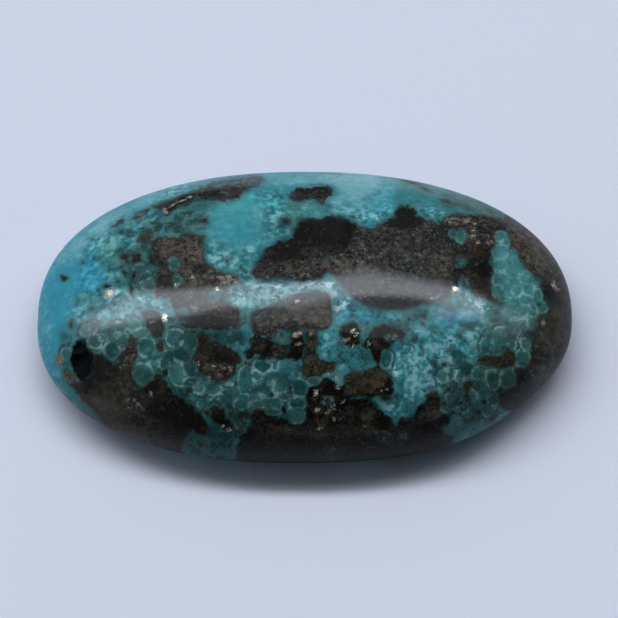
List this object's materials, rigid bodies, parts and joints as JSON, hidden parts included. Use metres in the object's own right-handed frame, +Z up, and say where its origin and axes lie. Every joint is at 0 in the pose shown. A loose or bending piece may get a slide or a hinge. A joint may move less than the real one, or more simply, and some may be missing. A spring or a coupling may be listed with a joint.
{
  "type": "turquoise cabochon",
  "caption": "Polished oval turquoise stone in dark pyrite-bearing matrix, with a domed top and a flat back, for setting, display or collecting.",
  "frame": {"origin": "middle of the flat back, on the surface that the stone rests on", "axes": "+Z up through the dome, out of the flat back; +X along the stone's length, towards the dark end; +Y across the stone"},
  "size_m": [0.03, 0.0184, 0.0061],
  "materials": {
    "turquoise": "polished turquoise, blue to green, in dark brown and charcoal matrix with pyrite flecks"
  },
  "bodies": {
    "root": {"turquoise_stone": "turquoise"}
  },
  "joints": []
}
